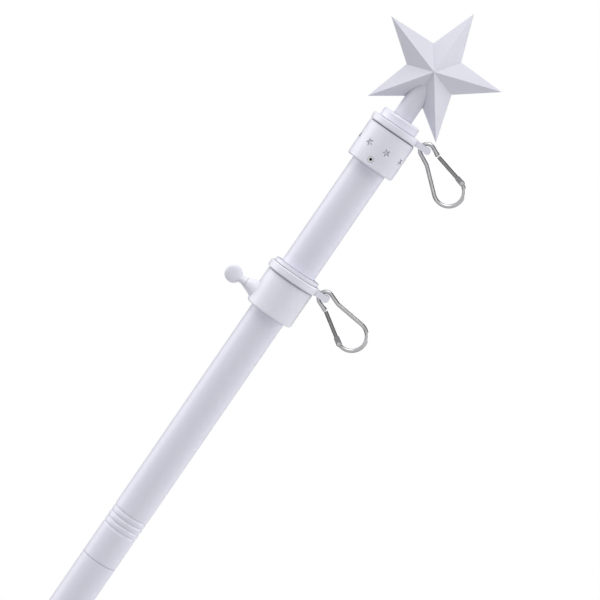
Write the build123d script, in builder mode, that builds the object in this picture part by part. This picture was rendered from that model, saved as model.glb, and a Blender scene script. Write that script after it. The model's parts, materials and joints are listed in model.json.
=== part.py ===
"""A house flagpole set in its two-position wall bracket.

The wall is the plane X = 0, X points away from it and Z points up it. The origin is on the
back of the bracket's plate, on the axis of its straight-out bore. The pole leans out in the
XZ plane, so a side view along Y shows it square on.
"""

import math
import os

from build123d import *

# Fits
SLIP = 0.15
RUNNING_GAP = 0.3
OVERRUN = 10.0

# Pole tubes
POLE_ANGLE = 45.0
POLE_DIAMETER = 25.4
POLE_WALL = 1.0
SECTION_LENGTH = 346.0
SECTION_COUNT = 4
COUPLER_REACH = 45.0
COUPLER_WALL = 1.0
GROOVE_COUNT = 4
GROOVE_PITCH = 4.3
GROOVE_FIRST = 24.7
GROOVE_DEPTH = 0.4
GROOVE_RADIUS = 1.8
JOINT_CHAMFER = 0.4

# Where the pole's foot centre stands in the bracket
FOOT_OUT = 22.0
FOOT_DROP = 12.0

# Bracket plate
PLATE_THICKNESS = 5.5
PLATE_LOW = 69.0
PLATE_HIGH = 70.5
PLATE_NOSE_RADIUS = 22.0
PLATE_HALF_WIDTH = 29.5
PLATE_CORNER_RADIUS = 3.5
PLATE_EDGE_ROUND = 1.5
SCREW_HOLE_DIAMETER = 6.5
LOW_HOLES_DROP = 43.5
LOW_HOLES_SPACING = 29.0
HIGH_HOLES_RISE = 59.0
HIGH_HOLES_SPACING = 36.0

# Bracket cup
BORE_CLEARANCE = 0.5
CUP_RIM_OUT = 45.0
CUP_FLOOR_OUT = 9.0
CUP_FOOT_RADIUS = 20.0
CUP_FOOT_LOW = 12.4
CUP_FOOT_HIGH = 16.0
CUP_FOOT_FILLET = 2.4
CUP_RIM_RADIUS = 18.0
CUP_RIM_LOW = 3.5
CUP_RIM_HIGH = 15.5
CUP_RIM_ROUND = 2.2

# Bracket legs and loop, seen from the side
ARM_HALF_WIDTH = 17.5
ARM_NOSE_DROP = 8.2
ARM_CORNER_RADIUS = 5.0
ARM_FILLET = 6.0
ARM_EDGE_ROUND = 1.6
LEG_FOOT_OUT = 3.0
LEG_FOOT_LOW = -7.0
LEG_FOOT_HIGH = 23.5
LEG_BEND_OUT = 32.0
LEG_BEND_LOW = -7.4
LEG_BEND_BACK_OUT = 41.0
LEG_BEND_HIGH = 25.2
LOOP_NOSE_TOP_OUT = 114.7
LOOP_NOSE_DEPTH = 19.4
LOOP_JOIN_LOW = 22.0
LOOP_JOIN_LOW_OUT = 68.7
LOOP_JOIN_HIGH = 40.6
LOOP_JOIN_HIGH_OUT = 57.0
LOOP_END_TOP = 57.0
LOOP_END_TOP_OUT = 68.7
LOOP_END_BACK = 52.3
LOOP_END_BACK_OUT = 62.8
LOOP_SLOT_HALF_WIDTH = 9.0
LOOP_SLOT_OUT = 58.0

# Bracket wing screws
STRAIGHT_SCREW_LIFT = 2.5
LOOP_SCREW_REACH = 67.4
CUP_SCREW_REACH = 22.3
WING_SCREW_TURNS = [33.0, 25.0, 20.0]
BOSS_RADIUS = 6.5
BOSS_HEIGHT = 2.0
CUP_BOSS_HEIGHT = 6.0
WING_SHAFT_DIAMETER = 6.0
WING_HUB_START = 13.0
WING_HUB_LENGTH = 8.0
WING_HUB_DIAMETER = 10.6
WING_HUB_RECESS_DIAMETER = 6.4
WING_HUB_RECESS_DEPTH = 1.2
WING_RADIUS = 4.0
WING_CORNER_RADIUS = 1.6
WING_ROOT_OFFSET = 2.0
WING_LENGTH = 13.0
WING_RISE = 42.0
WING_THICKNESS = 2.4

# Upper collar, ring, cap and star
UPPER_COLLAR_DIAMETER = 34.9
UPPER_COLLAR_SKIRT = 25.0
UPPER_COLLAR_ROOF = 2.6
COLLAR_EDGE_ROUND = 1.0
UPPER_RING_DIAMETER = 36.0
UPPER_RING_THICKNESS = 4.8
RING_EDGE_ROUND = 1.0
CAP_FLANGE_DIAMETER = 27.8
CAP_FLANGE_THICKNESS = 6.0
CAP_NECK_DIAMETER = 21.4
CAP_STUD_DIAMETER = 18.0
CAP_STUD_LENGTH = 20.0
STAR_TIP_RADIUS = 46.8
STAR_NOTCH_RADIUS = 19.0
STAR_POINT_COUNT = 5
STAR_HALF_THICKNESS = 14.0
STAR_EDGE_HALF_THICKNESS = 0.8
STAR_TIP_DIP = 0.86
STEM_DIAMETER = 14.0
STEM_BELOW_CENTRE = 9.8
SET_SCREW_DIAMETER = 4.0
SET_SCREW_RISE = 5.0
SET_SCREW_TURN = 96.0
SET_SCREW_SOCKET_DIAMETER = 2.2
SET_SCREW_SOCKET_DEPTH = 2.5
MARK_COUNT = 8
MARK_TURN = 75.5
MARK_RISE = 14.2
MARK_RADIUS = 2.9
MARK_NOTCH_RADIUS = 1.2
MARK_DEPTH = 0.7

# Lower collar, ring and thumb screw
LOWER_COLLAR_DROP = 144.0
LOWER_COLLAR_DIAMETER = 34.8
LOWER_COLLAR_LENGTH = 26.8
LOWER_NECK_DIAMETER = 29.6
LOWER_RING_DIAMETER = 38.0
LOWER_RING_THICKNESS = 5.4
RETAINER_DIAMETER = 33.6
RETAINER_THICKNESS = 2.2
THUMB_SCREW_RISE = 8.7
THUMB_BOSS_FOOT_REACH = 14.5
THUMB_BOSS_FOOT_DIAMETER = 16.4
THUMB_BOSS_MIDDLE_DIAMETER = 11.0
THUMB_BOSS_TOP_DIAMETER = 7.2
THUMB_BOSS_REACH = 24.0
THUMB_STUD_DIAMETER = 4.0
THUMB_NECK_DIAMETER = 5.4
THUMB_NECK_FLARE_DIAMETER = 7.0
THUMB_PADDLE_DIAMETER = 12.0
THUMB_PADDLE_REACH = 34.4
THUMB_PADDLE_THICKNESS = 3.4

# Lug on each ring
LUG_BAR_REACH = 25.9
LUG_BAR_DIAMETER = 5.0
LUG_THICKNESS = 4.2
LUG_HALF_WIDTH = 5.6
LUG_SLOT_START = 18.6
LUG_SLOT_WIDTH = 5.2

# Snap hooks
WIRE_DIAMETER = 2.8
HOOK_SMALL_RADIUS = 4.7
HOOK_LARGE_RADIUS = 10.1
HOOK_CENTRE_DISTANCE = 30.4
HOOK_KINK_REACH = 8.0
HOOK_KINK_RADIUS = 8.0
HOOK_NOSE_REACH = 6.6
HOOK_NOSE_DIAMETER = 3.3
HOOK_NOSE_LENGTH = 2.4
HOOK_NOSE_ROUND = 0.7
HOOK_EYE_ANGLE = 93.0
EYE_DIAMETER = 4.0
EYE_THICKNESS = 1.4
CHEEK_DIAMETER = 3.7
CHEEK_THICKNESS = 0.7
CHEEK_REACH = 4.0
GATE_DIAMETER = 2.7
GATE_TIP_GAP = 0.5
RIVET_DIAMETER = 1.5
RIVET_HEAD_DIAMETER = 2.6
RIVET_HEAD_THICKNESS = 0.5
UPPER_HOOK_ANGLE = 62.9
LOWER_HOOK_ANGLE = 69.6

# The pole's own frame: its foot, its direction and the side that the lugs are on
lean = math.radians(POLE_ANGLE)
pole_foot = Vector(FOOT_OUT, 0, -FOOT_DROP)
pole_direction = Vector(math.cos(lean), 0, math.sin(lean))
lug_direction = Vector(math.sin(lean), 0, -math.cos(lean))
pole_axis = Axis(pole_foot, pole_direction)
pole_side = Plane(origin=pole_foot, x_dir=lug_direction, z_dir=(0, -1, 0))

pole_radius = POLE_DIAMETER / 2
tube_radius = pole_radius - POLE_WALL
pole_length = SECTION_COUNT * SECTION_LENGTH
bore_radius = pole_radius + BORE_CLEARANCE

# Heights along the pole, from its foot
ring_pocket = UPPER_RING_THICKNESS + 2 * RUNNING_GAP
upper_collar_foot = pole_length - UPPER_COLLAR_SKIRT
upper_collar_top = pole_length + UPPER_COLLAR_ROOF
upper_ring_foot = upper_collar_top + RUNNING_GAP
cap_foot = upper_collar_top + ring_pocket
cap_top = cap_foot + CAP_FLANGE_THICKNESS
star_rise = STAR_TIP_RADIUS * math.cos(math.pi / STAR_POINT_COUNT) - STAR_TIP_DIP
star_centre = cap_top + star_rise
lower_collar_foot = pole_length - LOWER_COLLAR_DROP
lower_collar_top = lower_collar_foot + LOWER_COLLAR_LENGTH
lower_ring_foot = lower_collar_top + RUNNING_GAP
retainer_foot = lower_collar_top + LOWER_RING_THICKNESS + 2 * RUNNING_GAP
upper_lug_height = upper_ring_foot + UPPER_RING_THICKNESS / 2
lower_lug_height = lower_ring_foot + LOWER_RING_THICKNESS / 2

# The loop's own lines over the straight-out bore, and the places (up, out) of the wing screws
nose_reach = ARM_NOSE_DROP + ARM_HALF_WIDTH
top_share = nose_reach / (nose_reach + LOOP_END_TOP)
back_share = nose_reach / (nose_reach + LOOP_JOIN_LOW)
loop_nose_back_out = LOOP_NOSE_TOP_OUT - LOOP_NOSE_DEPTH
loop_top_out = LOOP_NOSE_TOP_OUT + (LOOP_END_TOP_OUT - LOOP_NOSE_TOP_OUT) * top_share
loop_back_out = loop_nose_back_out + (LOOP_JOIN_LOW_OUT - loop_nose_back_out) * back_share
loop_screw = pole_foot + pole_direction * LOOP_SCREW_REACH
cup_screw = pole_foot + pole_direction * CUP_SCREW_REACH
wing_screw_places = [
    (0.0, (loop_top_out + loop_back_out) / 2 + STRAIGHT_SCREW_LIFT),
    (loop_screw.Z, loop_screw.X),
    (cup_screw.Z, cup_screw.X),
]

pieces = {}


def pole_plane(height):
    """A plane square to the pole, with X towards the lugs."""
    return Plane(
        origin=pole_foot + pole_direction * height, x_dir=lug_direction, z_dir=pole_direction
    )


def turned(points):
    """A solid of revolution about the pole, from (radius, height) points."""
    with BuildPart() as body:
        with BuildSketch(pole_side):
            with BuildLine():
                Polyline(*points, close=True)
            make_face()
        revolve(axis=pole_axis)
    return body.part


def pole_section(index):
    """One tube, with crimp grooves where it grips the coupler below it."""
    foot = index * SECTION_LENGTH
    top = foot + SECTION_LENGTH
    half_width = math.sqrt(GROOVE_RADIUS**2 - (GROOVE_RADIUS - GROOVE_DEPTH) ** 2)
    groove_count = GROOVE_COUNT if index > 0 else 0
    with BuildPart() as section:
        with BuildSketch(pole_side):
            with BuildLine() as profile:
                Polyline(
                    (tube_radius, top),
                    (tube_radius, foot),
                    (pole_radius - JOINT_CHAMFER, foot),
                    (pole_radius, foot + JOINT_CHAMFER),
                )
                for groove in range(groove_count):
                    height = foot + GROOVE_FIRST + groove * GROOVE_PITCH
                    Line(profile.line @ 1, (pole_radius, height - half_width))
                    ThreePointArc(
                        (pole_radius, height - half_width),
                        (pole_radius - GROOVE_DEPTH, height),
                        (pole_radius, height + half_width),
                    )
                Polyline(
                    profile.line @ 1,
                    (pole_radius, top - JOINT_CHAMFER),
                    (pole_radius - JOINT_CHAMFER, top),
                    (tube_radius, top),
                )
            make_face()
        revolve(axis=pole_axis)
    return section.part


def pole_coupler(index):
    """The inner tube that joins a section to the one below it."""
    outer = tube_radius - SLIP
    with BuildPart() as coupler:
        with BuildSketch(pole_plane(index * SECTION_LENGTH - COUPLER_REACH)):
            Circle(outer)
            Circle(outer - COUPLER_WALL, mode=Mode.SUBTRACT)
        extrude(amount=2 * COUPLER_REACH)
    return coupler.part


def bracket_arm():
    """Two legs and the loop over them, as one solid before the bores are cut."""
    outline = [
        (LEG_FOOT_OUT, LEG_FOOT_LOW),
        (LEG_BEND_OUT, LEG_BEND_LOW),
        (LOOP_JOIN_LOW_OUT, LOOP_JOIN_LOW),
        (loop_nose_back_out, -nose_reach),
        (LOOP_NOSE_TOP_OUT, -nose_reach),
        (LOOP_END_TOP_OUT, LOOP_END_TOP),
        (LOOP_END_BACK_OUT, LOOP_END_BACK),
        (LOOP_JOIN_HIGH_OUT, LOOP_JOIN_HIGH),
        (LEG_BEND_BACK_OUT, LEG_BEND_HIGH),
        (LEG_FOOT_OUT, LEG_FOOT_HIGH),
    ]
    bends = [outline[2], outline[7]]
    plan_length = LOOP_END_TOP + ARM_NOSE_DROP + OVERRUN
    with BuildPart() as arm:
        with BuildSketch(Plane.XZ) as side:
            with BuildLine():
                Polyline(*outline, close=True)
            make_face()
            corners = [side.vertices().sort_by_distance(bend)[0] for bend in bends]
            fillet(corners, radius=ARM_FILLET)
        extrude(amount=ARM_HALF_WIDTH, both=True)
        with BuildSketch(Plane.YZ):
            with Locations((0, -ARM_NOSE_DROP)):
                Circle(ARM_HALF_WIDTH)
            with Locations((0, plan_length / 2 - ARM_NOSE_DROP)):
                Rectangle(2 * ARM_HALF_WIDTH + OVERRUN, plan_length)
        extrude(amount=LOOP_NOSE_TOP_OUT + OVERRUN, mode=Mode.INTERSECT)
        end = arm.faces().sort_by(Axis.Z)[-1]
        fillet(end.edges().filter_by(Axis.Y, reverse=True), radius=ARM_CORNER_RADIUS)
        above_plate = arm.edges().filter_by(lambda edge: edge.center().X > PLATE_THICKNESS)
        curves = above_plate.filter_by(GeomType.LINE, reverse=True)
        lines = above_plate.filter_by(GeomType.LINE).filter_by(Axis.X, reverse=True)
        rims = lines.filter_by(lambda edge: abs(edge.center().Y) > ARM_HALF_WIDTH - SLIP)
        fillet(curves + rims, radius=ARM_EDGE_ROUND)
    return arm.part


def bracket_cup():
    """The drafted cup, solid before the bores are cut."""
    with BuildPart() as cup:
        with BuildSketch(Plane.YZ):
            with Locations((0, (CUP_FOOT_HIGH - CUP_FOOT_LOW) / 2)):
                SlotCenterToCenter(CUP_FOOT_HIGH + CUP_FOOT_LOW, 2 * CUP_FOOT_RADIUS, rotation=90)
        with BuildSketch(Plane.YZ.offset(CUP_RIM_OUT)):
            with Locations((0, (CUP_RIM_HIGH - CUP_RIM_LOW) / 2)):
                SlotCenterToCenter(CUP_RIM_HIGH + CUP_RIM_LOW, 2 * CUP_RIM_RADIUS, rotation=90)
        loft(ruled=True)
        rim = cup.faces().sort_by(Axis.X)[-1]
        fillet(rim.edges(), radius=CUP_RIM_ROUND)
    return cup.part


def bracket_plate():
    """The wall plate with its four screw holes."""
    corner = PLATE_HIGH - PLATE_CORNER_RADIUS
    corner_side = PLATE_HALF_WIDTH - PLATE_CORNER_RADIUS
    with BuildPart() as plate:
        with BuildSketch(Plane.YZ):
            with Locations((0, PLATE_NOSE_RADIUS - PLATE_LOW)):
                Circle(PLATE_NOSE_RADIUS)
            with Locations((corner_side, corner), (-corner_side, corner)):
                Circle(PLATE_CORNER_RADIUS)
            make_hull()
        extrude(amount=PLATE_THICKNESS)
        front = plate.faces().sort_by(Axis.X)[-1]
        fillet(front.edges(), radius=PLATE_EDGE_ROUND)
        with BuildSketch(Plane.YZ):
            with Locations((0, -LOW_HOLES_DROP)):
                with GridLocations(LOW_HOLES_SPACING, 0, 2, 1):
                    Circle(SCREW_HOLE_DIAMETER / 2)
            with Locations((0, HIGH_HOLES_RISE)):
                with GridLocations(HIGH_HOLES_SPACING, 0, 2, 1):
                    Circle(SCREW_HOLE_DIAMETER / 2)
        extrude(amount=PLATE_THICKNESS, mode=Mode.SUBTRACT)
    return plate.part


def boss_face(out):
    """How far a screw boss stands to the side, at a distance from the wall."""
    if out < CUP_RIM_OUT:
        return CUP_RIM_RADIUS + CUP_BOSS_HEIGHT
    return ARM_HALF_WIDTH + BOSS_HEIGHT


def bracket_casting():
    """Plate, cup, legs and loop as one casting, bored for both pole positions."""
    with BuildPart() as casting:
        add(bracket_plate())
        add(bracket_cup())
        foot = casting.edges().filter_by(GeomType.BSPLINE).filter_by_position(
            Axis.X, PLATE_THICKNESS - SLIP, PLATE_THICKNESS + SLIP
        )
        fillet(foot, radius=CUP_FOOT_FILLET)
        add(bracket_arm())
        for up, out in wing_screw_places:
            with BuildSketch(Plane.XZ.offset(-boss_face(out))):
                with Locations((out, up)):
                    Circle(BOSS_RADIUS)
            extrude(amount=boss_face(out))
        # The straight-out bore, widened towards the loop's nose
        with BuildSketch(Plane.YZ.offset(CUP_FLOOR_OUT)):
            Circle(bore_radius)
        extrude(amount=LOOP_NOSE_TOP_OUT, mode=Mode.SUBTRACT)
        with BuildSketch(Plane.YZ.offset(LOOP_SLOT_OUT)):
            with Locations((0, -ARM_NOSE_DROP / 2)):
                SlotCenterToCenter(ARM_NOSE_DROP, 2 * bore_radius, rotation=90)
        extrude(amount=LOOP_NOSE_TOP_OUT, mode=Mode.SUBTRACT)
        # The leaning bore, with its flat floor under the pole's foot
        with BuildSketch(pole_plane(0)):
            Circle(bore_radius)
        extrude(amount=LOOP_NOSE_TOP_OUT, mode=Mode.SUBTRACT)
        # The slot through the loop that joins the two bores
        with BuildSketch(Plane.YZ.offset(LOOP_SLOT_OUT)):
            with Locations((0, LOOP_JOIN_HIGH / 2)):
                Rectangle(2 * LOOP_SLOT_HALF_WIDTH, LOOP_JOIN_HIGH)
        extrude(amount=LOOP_NOSE_TOP_OUT, mode=Mode.SUBTRACT)
        for up, out in wing_screw_places:
            with BuildSketch(Plane.XZ.offset(-boss_face(out))):
                with Locations((out, up)):
                    Circle(WING_SHAFT_DIAMETER / 2 + RUNNING_GAP)
            extrude(amount=boss_face(out), mode=Mode.SUBTRACT)
    return casting.part


def wing_screw(place, turn):
    """A screw with a recessed hub and two wings that rise away from the bracket."""
    up, out = place
    tip = pole_radius + RUNNING_GAP
    hub_foot = boss_face(out) + WING_HUB_START
    hub_top = hub_foot + WING_HUB_LENGTH
    wing_foot = hub_foot + WING_HUB_LENGTH / 2
    angle = math.radians(turn)
    wing_direction = Vector(math.sin(angle), 0, math.cos(angle))
    end = Plane(origin=(out, 0, up), x_dir=wing_direction, z_dir=(0, 1, 0))
    wings = Plane(origin=(out, 0, up), x_dir=wing_direction, z_dir=wing_direction.cross(Vector(0, 1, 0)))
    rise = math.radians(WING_RISE)
    along = Vector(math.cos(rise), math.sin(rise)) * (WING_LENGTH + WING_RADIUS - WING_CORNER_RADIUS)
    across = Vector(-math.sin(rise), math.cos(rise)) * (WING_RADIUS - WING_CORNER_RADIUS)
    root = Vector(WING_ROOT_OFFSET, wing_foot)
    tips = [root + along + across, root + along - across]
    with BuildPart() as screw:
        with BuildSketch(end.offset(tip)):
            Circle(WING_SHAFT_DIAMETER / 2)
        extrude(amount=hub_foot - tip)
        with BuildSketch(end.offset(hub_foot)):
            Circle(WING_HUB_DIAMETER / 2)
        extrude(amount=WING_HUB_LENGTH)
        for side in (1, -1):
            with BuildSketch(wings):
                with Locations((side * root.X, root.Y)):
                    Circle(WING_RADIUS)
                with Locations(*[(side * tip.X, tip.Y) for tip in tips]):
                    Circle(WING_CORNER_RADIUS)
                make_hull()
            extrude(amount=WING_THICKNESS / 2, both=True)
        with BuildSketch(end.offset(hub_top - WING_HUB_RECESS_DEPTH)):
            Circle(WING_HUB_RECESS_DIAMETER / 2)
        extrude(amount=WING_HUB_LENGTH, mode=Mode.SUBTRACT)
    return screw.part


def upper_collar():
    """A cap over the pole's top end, with a hole in its roof for the finial's stud."""
    outer = UPPER_COLLAR_DIAMETER / 2
    inner = pole_radius + SLIP
    stud = CAP_STUD_DIAMETER / 2 + SLIP
    points = [
        (inner, upper_collar_foot),
        (outer - COLLAR_EDGE_ROUND, upper_collar_foot),
        (outer, upper_collar_foot + COLLAR_EDGE_ROUND),
        (outer, upper_collar_top - COLLAR_EDGE_ROUND),
        (outer - COLLAR_EDGE_ROUND, upper_collar_top),
        (stud, upper_collar_top),
        (stud, pole_length),
        (inner, pole_length),
    ]
    with BuildPart() as collar:
        add(turned(points))
        with BuildSketch(set_screw_plane(0)):
            Circle(SET_SCREW_DIAMETER / 2 + SLIP)
        extrude(amount=outer, mode=Mode.SUBTRACT)
        for index in range(MARK_COUNT):
            with BuildSketch(collar_plane(MARK_RISE, MARK_TURN + index * 360 / MARK_COUNT, outer - MARK_DEPTH)):
                Polygon(*star_corners(MARK_RADIUS, MARK_NOTCH_RADIUS), align=None)
            extrude(amount=outer, mode=Mode.SUBTRACT)
    return collar.part


def collar_plane(rise, turn, reach):
    """A plane that faces out of the upper collar, turned away from the lugs, at a reach from the axis."""
    angle = math.radians(turn)
    direction = lug_direction * math.cos(angle) - Vector(0, 1, 0) * math.sin(angle)
    origin = pole_foot + pole_direction * (upper_collar_foot + rise) + direction * reach
    return Plane(origin=origin, x_dir=direction.cross(pole_direction), z_dir=direction)


def set_screw_plane(reach):
    """A plane square to the set screw, at a distance from the pole's axis."""
    return collar_plane(SET_SCREW_RISE, SET_SCREW_TURN, reach)


def star_corners(tip, notch):
    """The corners of a five-pointed star, from its upper tip on."""
    corners = []
    for index in range(2 * STAR_POINT_COUNT):
        angle = index * math.pi / STAR_POINT_COUNT
        radius = notch if index % 2 else tip
        corners.append((radius * math.sin(angle), radius * math.cos(angle)))
    return corners


def collar_set_screw():
    """A socket screw that holds the upper collar on the pole."""
    tip = pole_radius + SLIP
    length = UPPER_COLLAR_DIAMETER / 2 - tip
    with BuildPart() as screw:
        with BuildSketch(set_screw_plane(tip)):
            Circle(SET_SCREW_DIAMETER / 2)
        extrude(amount=length)
        with BuildSketch(set_screw_plane(tip + length - SET_SCREW_SOCKET_DEPTH)):
            RegularPolygon(SET_SCREW_SOCKET_DIAMETER / 2, 6)
        extrude(amount=SET_SCREW_SOCKET_DEPTH, mode=Mode.SUBTRACT)
    return screw.part


def ring_with_lug(foot, diameter, thickness, bore):
    """A ring with rounded rims and one lug, whose slot leaves a round bar for the snap hook."""
    middle = foot + thickness / 2
    bar_centre = pole_foot + pole_direction * middle + lug_direction * LUG_BAR_REACH
    with BuildPart() as ring:
        with BuildSketch(pole_plane(foot)):
            Circle(diameter / 2)
        extrude(amount=thickness)
        fillet(ring.edges(), radius=RING_EDGE_ROUND)
        with BuildSketch(pole_plane(middle)):
            with Locations((LUG_BAR_REACH / 2, 0)):
                Rectangle(LUG_BAR_REACH, 2 * LUG_HALF_WIDTH)
        extrude(amount=LUG_THICKNESS / 2, both=True)
        with BuildSketch(pole_plane(middle)):
            with Locations(((LUG_SLOT_START + LUG_BAR_REACH) / 2, 0)):
                Rectangle(LUG_BAR_REACH - LUG_SLOT_START, LUG_SLOT_WIDTH)
            Circle(bore)
        extrude(amount=thickness, both=True, mode=Mode.SUBTRACT)
        with BuildSketch(Plane(origin=bar_centre, x_dir=lug_direction, z_dir=(0, -1, 0))):
            Circle(LUG_BAR_DIAMETER / 2)
        extrude(amount=LUG_HALF_WIDTH, both=True)
    return ring.part


def finial_cap():
    """The neck that the upper ring turns on, its flange and the stud into the pole."""
    stud = CAP_STUD_DIAMETER / 2
    neck = CAP_NECK_DIAMETER / 2
    flange = CAP_FLANGE_DIAMETER / 2
    points = [
        (0, upper_collar_top - CAP_STUD_LENGTH),
        (stud, upper_collar_top - CAP_STUD_LENGTH),
        (stud, upper_collar_top),
        (neck, upper_collar_top),
        (neck, cap_foot),
        (flange, cap_foot),
        (flange, cap_top - COLLAR_EDGE_ROUND),
        (flange - COLLAR_EDGE_ROUND, cap_top),
        (0, cap_top),
    ]
    return turned(points)


def star_finial():
    """A five-pointed star, faceted to a peak on both faces, on a round stem."""
    centre = pole_foot + pole_direction * star_centre
    corners = star_corners(STAR_TIP_RADIUS, STAR_NOTCH_RADIUS)
    with BuildPart() as star:
        for side in (1, -1):
            face = Plane(origin=centre, x_dir=lug_direction * side, z_dir=(0, -side, 0))
            with BuildSketch(face.offset(STAR_EDGE_HALF_THICKNESS)) as outline:
                Polygon(*corners, align=None)
            peak = Vertex(*(centre - Vector(0, side * STAR_HALF_THICKNESS, 0)))
            loft(sections=[outline.sketch.face(), peak], ruled=True)
            extrude(amount=-STAR_EDGE_HALF_THICKNESS)
        with BuildSketch(pole_plane(cap_top)):
            Circle(STEM_DIAMETER / 2)
        extrude(amount=star_rise - STEM_BELOW_CENTRE)
    return star.part


def lower_collar():
    """A sliding collar with a neck for the ring and a boss for the thumb screw."""
    outer = LOWER_COLLAR_DIAMETER / 2
    inner = pole_radius + RUNNING_GAP
    neck = LOWER_NECK_DIAMETER / 2
    points = [
        (inner, lower_collar_foot),
        (outer - COLLAR_EDGE_ROUND, lower_collar_foot),
        (outer, lower_collar_foot + COLLAR_EDGE_ROUND),
        (outer, lower_collar_top - COLLAR_EDGE_ROUND),
        (outer - COLLAR_EDGE_ROUND, lower_collar_top),
        (neck, lower_collar_top),
        (neck, retainer_foot),
        (inner, retainer_foot),
    ]
    with BuildPart() as collar:
        add(turned(points))
        with BuildSketch(thumb_side()):
            with BuildLine():
                Polyline(
                    (THUMB_BOSS_FOOT_REACH, THUMB_BOSS_FOOT_DIAMETER / 2),
                    (THUMB_BOSS_FOOT_REACH, 0),
                    (THUMB_BOSS_REACH, 0),
                    (THUMB_BOSS_REACH, THUMB_BOSS_TOP_DIAMETER / 2),
                )
                ThreePointArc(
                    (THUMB_BOSS_REACH, THUMB_BOSS_TOP_DIAMETER / 2),
                    ((THUMB_BOSS_FOOT_REACH + THUMB_BOSS_REACH) / 2, THUMB_BOSS_MIDDLE_DIAMETER / 2),
                    (THUMB_BOSS_FOOT_REACH, THUMB_BOSS_FOOT_DIAMETER / 2),
                )
            make_face()
        revolve(axis=thumb_axis())
        with BuildSketch(pole_plane(lower_collar_foot)):
            Circle(inner)
        extrude(amount=LOWER_COLLAR_LENGTH, mode=Mode.SUBTRACT)
        with BuildSketch(thumb_plane(0)):
            Circle(THUMB_STUD_DIAMETER / 2 + RUNNING_GAP)
        extrude(amount=THUMB_BOSS_REACH, mode=Mode.SUBTRACT)
    return collar.part


def thumb_plane(reach):
    """A plane square to the thumb screw, on the side away from the lugs."""
    origin = pole_foot + pole_direction * (lower_collar_foot + THUMB_SCREW_RISE)
    return Plane(origin=origin - lug_direction * reach, x_dir=pole_direction, z_dir=-lug_direction)


def thumb_side():
    """A plane along the thumb screw: X out from the pole's axis, Y to its side."""
    return Plane(origin=thumb_plane(0).origin, x_dir=-lug_direction, z_dir=(0, 1, 0))


def thumb_axis():
    """The line that the thumb screw turns on."""
    return Axis(thumb_plane(0).origin, -lug_direction)


def thumb_screw():
    """A screw with a waisted neck and a flat round paddle to turn it by."""
    tip = pole_radius + RUNNING_GAP
    neck_foot = THUMB_BOSS_REACH + RUNNING_GAP
    neck_end = THUMB_PADDLE_REACH - THUMB_PADDLE_DIAMETER / 4
    flare = THUMB_NECK_FLARE_DIAMETER / 2
    centre = thumb_plane(THUMB_PADDLE_REACH).origin
    paddle = Plane(origin=centre, x_dir=pole_direction, z_dir=(0, 1, 0))
    with BuildPart() as screw:
        with BuildSketch(thumb_plane(tip)):
            Circle(THUMB_STUD_DIAMETER / 2)
        extrude(amount=neck_foot - tip)
        with BuildSketch(thumb_side()):
            with BuildLine():
                Polyline((neck_foot, flare), (neck_foot, 0), (neck_end, 0), (neck_end, flare))
                ThreePointArc(
                    (neck_end, flare), ((neck_foot + neck_end) / 2, THUMB_NECK_DIAMETER / 2), (neck_foot, flare)
                )
            make_face()
        revolve(axis=thumb_axis())
        with BuildSketch(paddle):
            Circle(THUMB_PADDLE_DIAMETER / 2)
        extrude(amount=THUMB_PADDLE_THICKNESS / 2, both=True)
    return screw.part


def hook_plane(height, angle, gate_side):
    """The snap hook's own plane: origin on the lug's bar, X along the hook, Y to its gate."""
    turn = math.radians(angle)
    along = lug_direction * math.sin(turn) - pole_direction * math.cos(turn)
    bar = pole_foot + pole_direction * height + lug_direction * LUG_BAR_REACH
    return Plane(origin=bar, x_dir=along, z_dir=(0, -gate_side, 0))


def eye_place():
    """The rivet's place in the hook's plane."""
    angle = math.radians(HOOK_EYE_ANGLE)
    return Vector(
        HOOK_CENTRE_DISTANCE + HOOK_LARGE_RADIUS * math.cos(angle),
        HOOK_LARGE_RADIUS * math.sin(angle),
    )


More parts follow.
